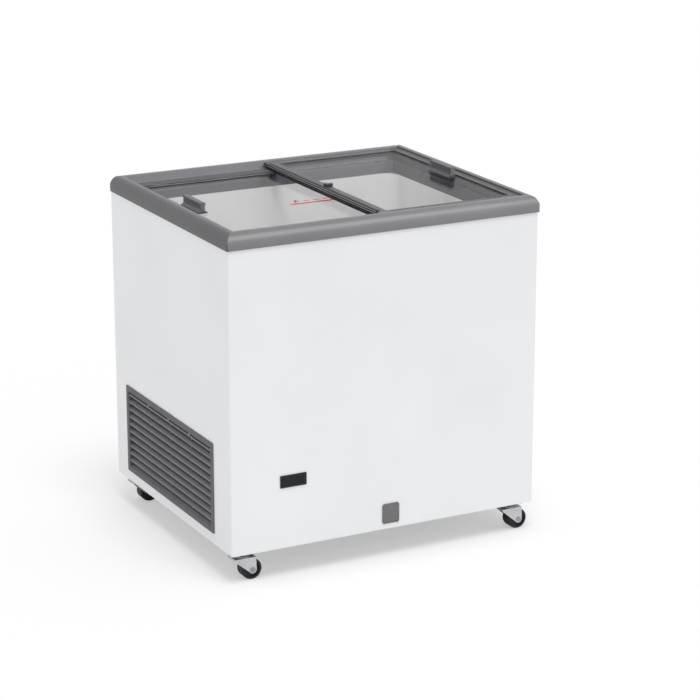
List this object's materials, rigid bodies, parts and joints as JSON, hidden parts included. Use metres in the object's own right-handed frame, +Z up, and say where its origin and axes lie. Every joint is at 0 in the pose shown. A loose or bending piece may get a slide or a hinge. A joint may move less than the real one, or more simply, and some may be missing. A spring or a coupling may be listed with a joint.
{
  "type": "glass lid chest freezer",
  "caption": "White chest freezer with sliding glass lids in a grey top frame, a louvred side grille, a controller on the front and swivel castors.",
  "frame": {"origin": "on the floor under the middle of the cabinet", "axes": "+Z up, -Y towards the front with the controller, +X to the right seen from the front"},
  "size_m": [0.806, 0.671, 0.8472],
  "materials": {
    "shell_white": "gloss",
    "panel_grey": "satin",
    "screw_steel": "satin",
    "black_plastic": "matte",
    "foam_cream": "matte",
    "liner_white": "satin",
    "copper": "satin",
    "frame_grey": "satin",
    "lid_grey": "satin",
    "seam_dark": "satin",
    "handle_grey": "satin",
    "lid_glass": "polished",
    "seal_black": "matte",
    "lock_black": "satin",
    "lock_metal": "polished",
    "grille_grey": "matte",
    "controller_black": "satin",
    "window_black": "gloss",
    "drain_grey": "satin",
    "drain_white": "satin",
    "unit_black": "satin",
    "bracket_zinc": "satin",
    "fan_aluminium": "satin",
    "castor_dark": "satin",
    "castor_zinc": "satin",
    "wheel_black": "satin"
  },
  "bodies": {
    "cabinet": {"outer_shell": "shell_white", "rear_panel": "panel_grey", "base_tray": "panel_grey", "rear_panel_screws": "screw_steel", "castor_screws": "screw_steel", "compressor_bolts": "screw_steel", "cord_gland": "black_plastic", "terminal_box": "black_plastic", "insulation_foam": "foam_cream", "inner_liner": "liner_white", "evaporator_coil": "copper", "liquid_pipe": "copper", "discharge_pipe": "copper", "capillary_pipe": "copper", "suction_pipe": "copper", "filter_drier": "copper", "frame_rail_front": "frame_grey", "frame_rail_left": "frame_grey", "frame_rail_right": "frame_grey", "frame_rail_rear": "frame_grey", "compressor_grommets": "seal_black", "vent_grille": "grille_grey", "controller_housing": "controller_black", "controller_window": "window_black", "drain_pipe": "drain_white", "compressor": "unit_black", "condenser_coil": "unit_black", "fan_motor": "unit_black", "condenser_brackets": "bracket_zinc", "fan_bracket": "bracket_zinc", "castor_plate_front_left": "castor_dark", "castor_plate_rear_left": "castor_dark", "castor_plate_front_right": "castor_dark", "castor_plate_rear_right": "castor_dark"},
    "left_lid": {"left_lid_front_runner": "lid_grey", "left_lid_rear_runner": "lid_grey", "left_lid_handle": "handle_grey", "left_lid_end_strip": "lid_grey", "left_lid_seam_strip": "lid_grey", "left_lid_glass": "lid_glass"},
    "right_lid": {"right_lid_front_runner": "lid_grey", "right_lid_rear_runner": "lid_grey", "right_lid_handle": "handle_grey", "right_lid_end_strip": "lid_grey", "right_lid_seam_strip": "seam_dark", "right_lid_glass": "lid_glass", "seam_seal": "seal_black", "lid_lock_housing": "lock_black"},
    "lock_barrel": {"lid_lock_barrel": "lock_metal"},
    "drain_cap": {"drain_cover": "drain_grey"},
    "tub_plug": {"drain_plug": "drain_white"},
    "condenser_fan": {"fan_blade": "fan_aluminium"},
    "fork_front_left": {"castor_fork_front_left": "castor_zinc"},
    "wheel_front_left": {"castor_wheel_front_left": "wheel_black"},
    "fork_rear_left": {"castor_fork_rear_left": "castor_zinc"},
    "wheel_rear_left": {"castor_wheel_rear_left": "wheel_black"},
    "fork_front_right": {"castor_fork_front_right": "castor_zinc"},
    "wheel_front_right": {"castor_wheel_front_right": "wheel_black"},
    "fork_rear_right": {"castor_fork_rear_right": "castor_zinc"},
    "wheel_rear_right": {"castor_wheel_rear_right": "wheel_black"}
  },
  "joints": [
    {"name": "left_lid_slide", "type": "slide", "parent": "cabinet", "child": "left_lid", "axis": [1, 0, 0], "range_m": [0, 0.315]},
    {"name": "right_lid_slide", "type": "slide", "parent": "cabinet", "child": "right_lid", "axis": [1, 0, 0], "range_m": [-0.315, 0]},
    {"name": "lock_turn", "type": "hinge", "parent": "right_lid", "child": "lock_barrel", "pos_m": [0.0185, 0, 0.83], "axis": [0, 0, 1], "range_deg": [0, 90]},
    {"name": "drain_cap_pull", "type": "slide", "parent": "cabinet", "child": "drain_cap", "axis": [0, -1, 0], "range_m": [0, 0.03]},
    {"name": "tub_plug_lift", "type": "slide", "parent": "cabinet", "child": "tub_plug", "axis": [0, 0, 1], "range_m": [0, 0.1]},
    {"name": "condenser_fan_spin", "type": "hinge", "parent": "cabinet", "child": "condenser_fan", "pos_m": [-0.34, -0.11, 0.1982], "axis": [1, 0, 0], "continuous": true},
    {"name": "swivel_front_left", "type": "hinge", "parent": "cabinet", "child": "fork_front_left", "pos_m": [-0.356, -0.2945, 0.06], "axis": [0, 0, 1], "continuous": true},
    {"name": "roll_front_left", "type": "hinge", "parent": "fork_front_left", "child": "wheel_front_left", "pos_m": [-0.339, -0.2945, 0.025], "axis": [0, 1, 0], "continuous": true},
    {"name": "swivel_rear_left", "type": "hinge", "parent": "cabinet", "child": "fork_rear_left", "pos_m": [-0.356, 0.2945, 0.06], "axis": [0, 0, 1], "continuous": true},
    {"name": "roll_rear_left", "type": "hinge", "parent": "fork_rear_left", "child": "wheel_rear_left", "pos_m": [-0.339, 0.2945, 0.025], "axis": [0, 1, 0], "continuous": true},
    {"name": "swivel_front_right", "type": "hinge", "parent": "cabinet", "child": "fork_front_right", "pos_m": [0.356, -0.2945, 0.06], "axis": [0, 0, 1], "continuous": true},
    {"name": "roll_front_right", "type": "hinge", "parent": "fork_front_right", "child": "wheel_front_right", "pos_m": [0.373, -0.2945, 0.025], "axis": [0, 1, 0], "continuous": true},
    {"name": "swivel_rear_right", "type": "hinge", "parent": "cabinet", "child": "fork_rear_right", "pos_m": [0.356, 0.2945, 0.06], "axis": [0, 0, 1], "continuous": true},
    {"name": "roll_rear_right", "type": "hinge", "parent": "fork_rear_right", "child": "wheel_rear_right", "pos_m": [0.373, 0.2945, 0.025], "axis": [0, 1, 0], "continuous": true}
  ]
}
